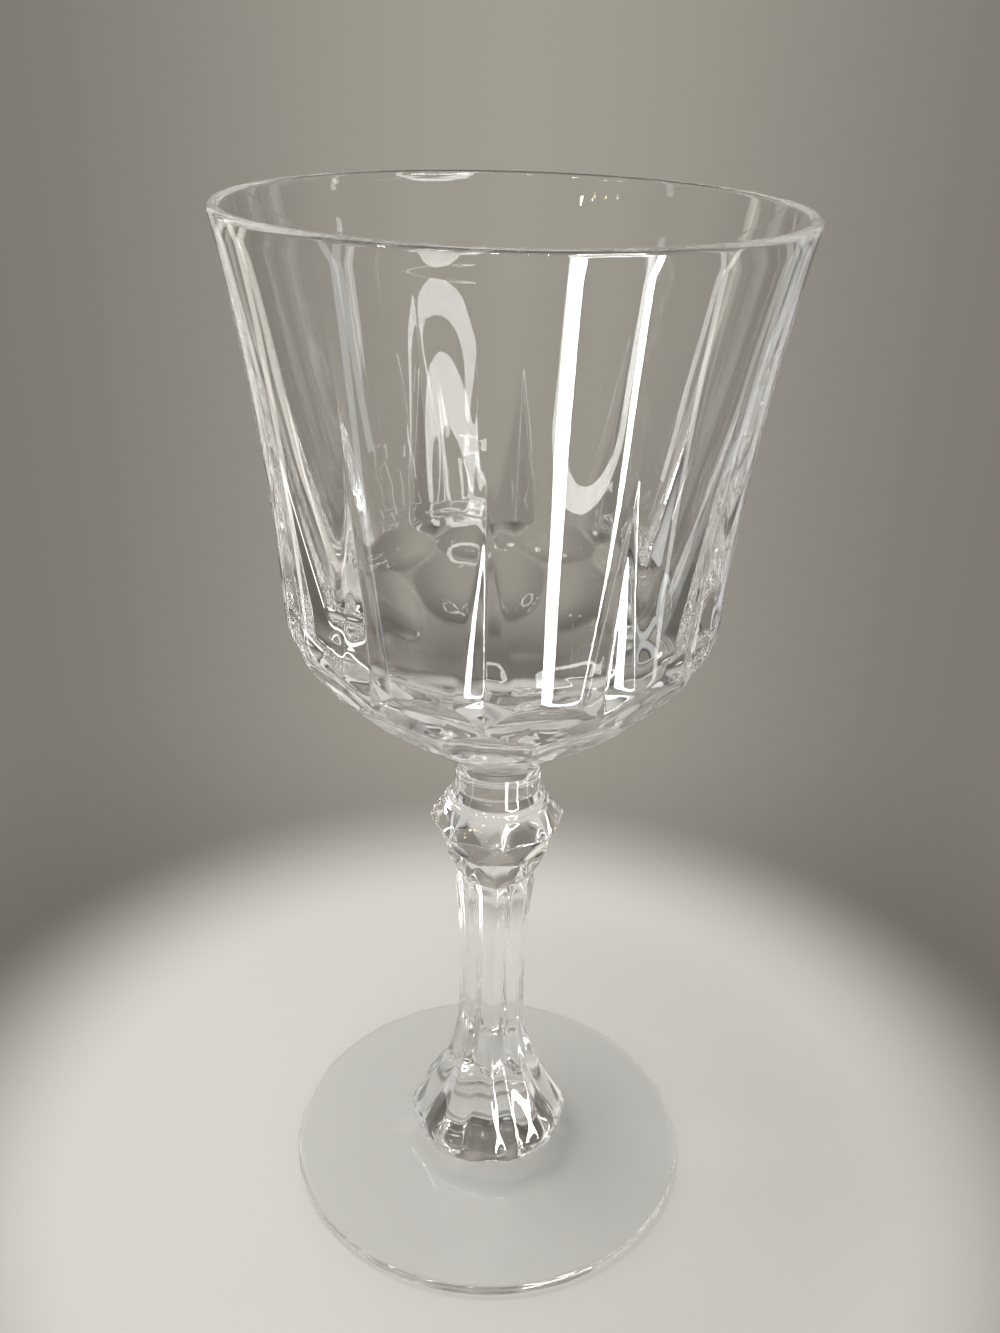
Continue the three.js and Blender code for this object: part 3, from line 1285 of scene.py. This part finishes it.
@dataclass
class Bulbs:
    """A row of small round lamps on a level line. Sizes in metres.

    Attributes:
        glow: Their light.
        angle: Where the middle of the row hangs round the goblet, in degrees.
        distance: How far from the axis.
        height: How high it hangs.
        count: How many bulbs it has.
        pitch: How far they are apart.
        radius: The radius of a bulb.
    """

    glow: LampGlow
    angle: float
    distance: float
    height: float
    count: int
    pitch: float
    radius: float

    def build(self) -> bpy.types.Object:
        """Makes the row.

        Returns:
            The row, on the stage and out of the camera's sight.
        """
        mesh = bmesh.new()
        for i in range(self.count):
            along = (i - (self.count - 1) / 2) * self.pitch
            place = Matrix.Translation((along, 0.0, self.height))
            bmesh.ops.create_icosphere(mesh, subdivisions=2, radius=self.radius, matrix=place)
        return hung(mesh, self.glow, self.angle, self.distance)


@dataclass
class SoftBox:
    """A soft rectangular lamp that faces the goblet.

    Attributes:
        name: Its name.
        place: Where it stands, in metres.
        size: Its width and height, in metres.
        power: Its power, in watts.
        aim: The point that it faces, in metres.
    """

    name: str
    place: Point
    size: tuple[float, float]
    power: float
    aim: Point = (0.0, 0.0, 0.09)

    def build(self) -> bpy.types.Object:
        """Makes the lamp, which lights the paper and which glass doesn't mirror.

        Returns:
            The lamp, turned to its aim.
        """
        light = bpy.data.lights.new(self.name, "AREA")
        light.shape = "RECTANGLE"
        light.size, light.size_y = self.size
        light.energy = self.power
        light.use_nodes = True
        kit = NodeKit(light.node_tree)
        scattered = kit.node("ShaderNodeLightPath", output="Diffuse Depth")
        glow = kit.node("ShaderNodeEmission", sockets={"Strength": 1 - scattered.clamped()})
        kit.node("ShaderNodeOutputLight", sockets={"Surface": glow})
        lamp = bpy.data.objects.new(self.name, light)
        bpy.context.scene.collection.objects.link(lamp)
        lamp.location = self.place
        toward = Vector(self.aim) - Vector(self.place)
        lamp.rotation_euler = toward.to_track_quat("-Z", "Y").to_euler()
        lamp.visible_camera = False
        lamp.visible_glossy = False
        lamp.visible_transmission = False
        return lamp


@dataclass
class Studio:
    """The paper, the lamps and the air around them.

    Attributes:
        paper: The finish of the floor.
        lamps: The lamps that only glass sees.
        boxes: The soft lamps.
        air: The colour of the light from all round, level with the goblet.
        dusk: Its colour far above and far below.
        above: The sines of the heights between which the one turns into the other overhead.
        below: The same below the goblet.
        folds: How many soft folds the air's light has all round.
        fold_depth: How much of the light is gone between two folds.
        floor_radius: The radius of the sheet of paper, in metres.
        floor_drop: How far it lies under the foot, in metres.
        floor_segments: How many sides it has.
    """

    paper: StudioPaper
    lamps: Iterable[Union[LoopLamp, Window, Bulbs]]
    boxes: Iterable[SoftBox]
    air: Colour = (0.36, 0.335, 0.29, 1.0)
    dusk: Colour = (0.09, 0.083, 0.073, 1.0)
    above: Share = (0.5, 0.9)
    below: Share = (-0.75, -0.45)
    folds: int = 8
    fold_depth: float = 0.55
    floor_radius: float = 2.0
    floor_drop: float = 0.0002
    floor_segments: int = 96

    def build(self) -> None:
        """Lays the paper, sets up the lamps and fills the air."""
        self._lay_paper()
        for lamp in (*self.lamps, *self.boxes):
            lamp.build()
        self._fill_air()

    def _fill_air(self) -> None:
        """Makes the light from all round, which fades above and below and goes in soft folds."""
        world = bpy.data.worlds.new("studio_air")
        world.use_nodes = True
        kit = NodeKit(world.node_tree)
        right, back, up = kit.axes(kit.node("ShaderNodeTexCoord", output="Generated"))
        round_it = kit.node("ShaderNodeMath", {"operation": "ARCTAN2"}, {0: right, 1: back})
        wave = kit.node("ShaderNodeMath", {"operation": "COSINE"}, {0: round_it * self.folds})
        level = up.between(*self.below) * (1 - up.between(*self.above))
        lit = level * (1 - self.fold_depth * (0.5 - 0.5 * wave))
        colour = kit.blended(lit, self.dusk, self.air)
        light = kit.node("ShaderNodeBackground", sockets={"Color": colour})
        kit.node("ShaderNodeOutputWorld", sockets={"Surface": light})
        bpy.context.scene.world = world

    def _lay_paper(self) -> None:
        """Lays a round sheet of paper just under the foot."""
        mesh = bmesh.new()
        rim = {"segments": self.floor_segments, "radius": self.floor_radius}
        bmesh.ops.create_circle(mesh, cap_ends=True, **rim)
        bmesh.ops.translate(mesh, verts=mesh.verts, vec=(0.0, 0.0, -self.floor_drop))
        shaped(mesh, "paper_floor", [self.paper.material()])


@dataclass
class Viewpoint:
    """The camera, where the photograph was taken from.

    Attributes:
        place: Where it stands, in metres.
        pitch: How far it looks down, in degrees.
        yaw: How far it looks to the right.
        roll: How far its top leans to the left.
        focal_pixels: Its focal length, in pixels of the photograph.
        picture_height: The photograph's height in pixels.
        sensor: The height of the sensor, in millimetres.
        nearest: How close a thing may come, in metres.
    """

    place: Point = (0.0, -0.18461, 0.19170)
    pitch: float = 26.334
    yaw: float = -0.065
    roll: float = 1.690
    focal_pixels: float = 1305.3
    picture_height: int = 1333
    sensor: float = 36.0
    nearest: float = 0.01

    def build(self) -> bpy.types.Object:
        """Makes the camera and hands the scene to it.

        Returns:
            The camera.
        """
        data = bpy.data.cameras.new("viewpoint")
        data.sensor_fit = "VERTICAL"
        data.sensor_height = self.sensor
        data.lens = self.sensor * self.focal_pixels / self.picture_height
        data.clip_start = self.nearest
        camera = bpy.data.objects.new("viewpoint", data)
        bpy.context.scene.collection.objects.link(camera)
        aside = Matrix.Rotation(math.radians(-self.yaw), 4, "Z")
        down = Matrix.Rotation(math.radians(90.0 - self.pitch), 4, "X")
        lean = Matrix.Rotation(math.radians(self.roll), 4, "Z")
        camera.matrix_world = Matrix.Translation(self.place) @ aside @ down @ lean
        bpy.context.scene.camera = camera
        return camera


def set_picture() -> None:
    """Sets plain colour, and enough bounces for light that runs inside a wall."""
    scene = bpy.context.scene
    scene.view_settings.view_transform = "Standard"
    scene.cycles.max_bounces = GLASS_BOUNCES
    scene.cycles.glossy_bounces = GLASS_BOUNCES
    scene.cycles.transmission_bounces = GLASS_BOUNCES
    scene.cycles.transparent_max_bounces = CLEAR_BOUNCES
    scene.cycles.caustics_reflective = True
    scene.cycles.caustics_refractive = True
    scene.cycles.use_denoising = True


def loop_lamps() -> tuple[LoopLamp, ...]:
    """Two loops of light tube at the front right, one over the other.

    Returns:
        The loops.
    """
    lower = LoopLamp(
        LampGlow("loop_lamp", 46.0),
        angle=37.2,
        distance=0.8,
        half_width=0.215,
        bottom=-0.66,
        top=0.2,
        tube=0.068,
        low_rise=0.13,
        low_share=1.2,
        high_rise=0.16,
        high_share=1.4,
        slim=0.022,
        tilt=-4.0,
    )
    upper = LoopLamp(
        LampGlow("upper_loop", 46.0),
        angle=37.0,
        distance=0.7,
        half_width=0.15,
        bottom=0.48,
        top=0.82,
        tube=0.045,
        low_rise=0.15,
        low_share=1.0,
        high_rise=0.15,
        high_share=1.0,
    )
    return lower, upper


def panels() -> tuple[Window, ...]:
    """Lit panels at the sides and behind, which draw the edges of the glass.

    Returns:
        The panels.
    """
    cream, sky = (1.0, 0.95, 0.86, 1.0), (0.86, 0.93, 1.0, 1.0)
    strip = {"distance": 0.8, "bottom": -0.5, "top": 0.3}
    return (
        Window(LampGlow("left_window", 2.4, cream, fade=0.02), angle=-121.0, distance=0.42, width=0.06),
        Window(LampGlow("left_wall", 0.9, cream, fade=0.05), angle=-143.0, distance=0.45, width=0.14),
        Window(LampGlow("right_window", 0.9, fade=0.02), angle=123.0, distance=0.42, width=0.07),
        Window(LampGlow("right_wall", 0.6, fade=0.04), angle=142.0, distance=0.45, width=0.12),
        Window(LampGlow("left_strip", 3.0, sky, fade=0.01), angle=-70.0, width=0.06, **strip),
        Window(LampGlow("right_strip", 5.0, fade=0.01), angle=85.0, width=0.05, **strip),
    )


def bulbs() -> tuple[Bulbs, ...]:
    """Rows of small lamps overhead, which glint in the bowl.

    Returns:
        The rows.
    """
    amber = (1.0, 0.72, 0.36, 1.0)
    small = {"distance": 1.2, "radius": 0.011}
    globes = LampGlow("globes", 60.0)
    near, far = LampGlow("near_bulbs", 240.0, amber), LampGlow("far_bulbs", 240.0, amber)
    return (
        Bulbs(globes, angle=-28.0, distance=0.9, height=0.72, count=3, pitch=0.36, radius=0.04),
        Bulbs(near, angle=-38.0, height=0.52, count=4, pitch=0.11, **small),
        Bulbs(far, angle=20.0, height=0.95, count=5, pitch=0.16, **small),
    )


def main() -> None:
    """Builds the goblet, the studio and the camera."""
    logging.basicConfig(level=logging.INFO, format="%(name)s: %(message)s")
    weld = FusedWeld()
    gathers = (
        Foot("foot", ClearGlass(Glass.FOOT, scuff_height=0.0004), weld, repeats=8),
        Stem("stem", ClearGlass(Glass.STEM), weld, repeats=8),
        Bowl("bowl", ClearGlass(Glass.BOWL), weld, repeats=12),
    )
    for gather in gathers:
        piece = gather.build()
        LOG.info("%s has %d faces", piece.name, len(piece.data.polygons))
    overhead = SoftBox("overhead", place=(-0.25, 0.0, 1.1), size=(0.4, 0.4), power=12.0)
    lamps = (*loop_lamps(), *panels(), *bulbs())
    Studio(StudioPaper(), lamps, (overhead,)).build()
    Viewpoint().build()
    set_picture()


if __name__ == "__main__":
    main()
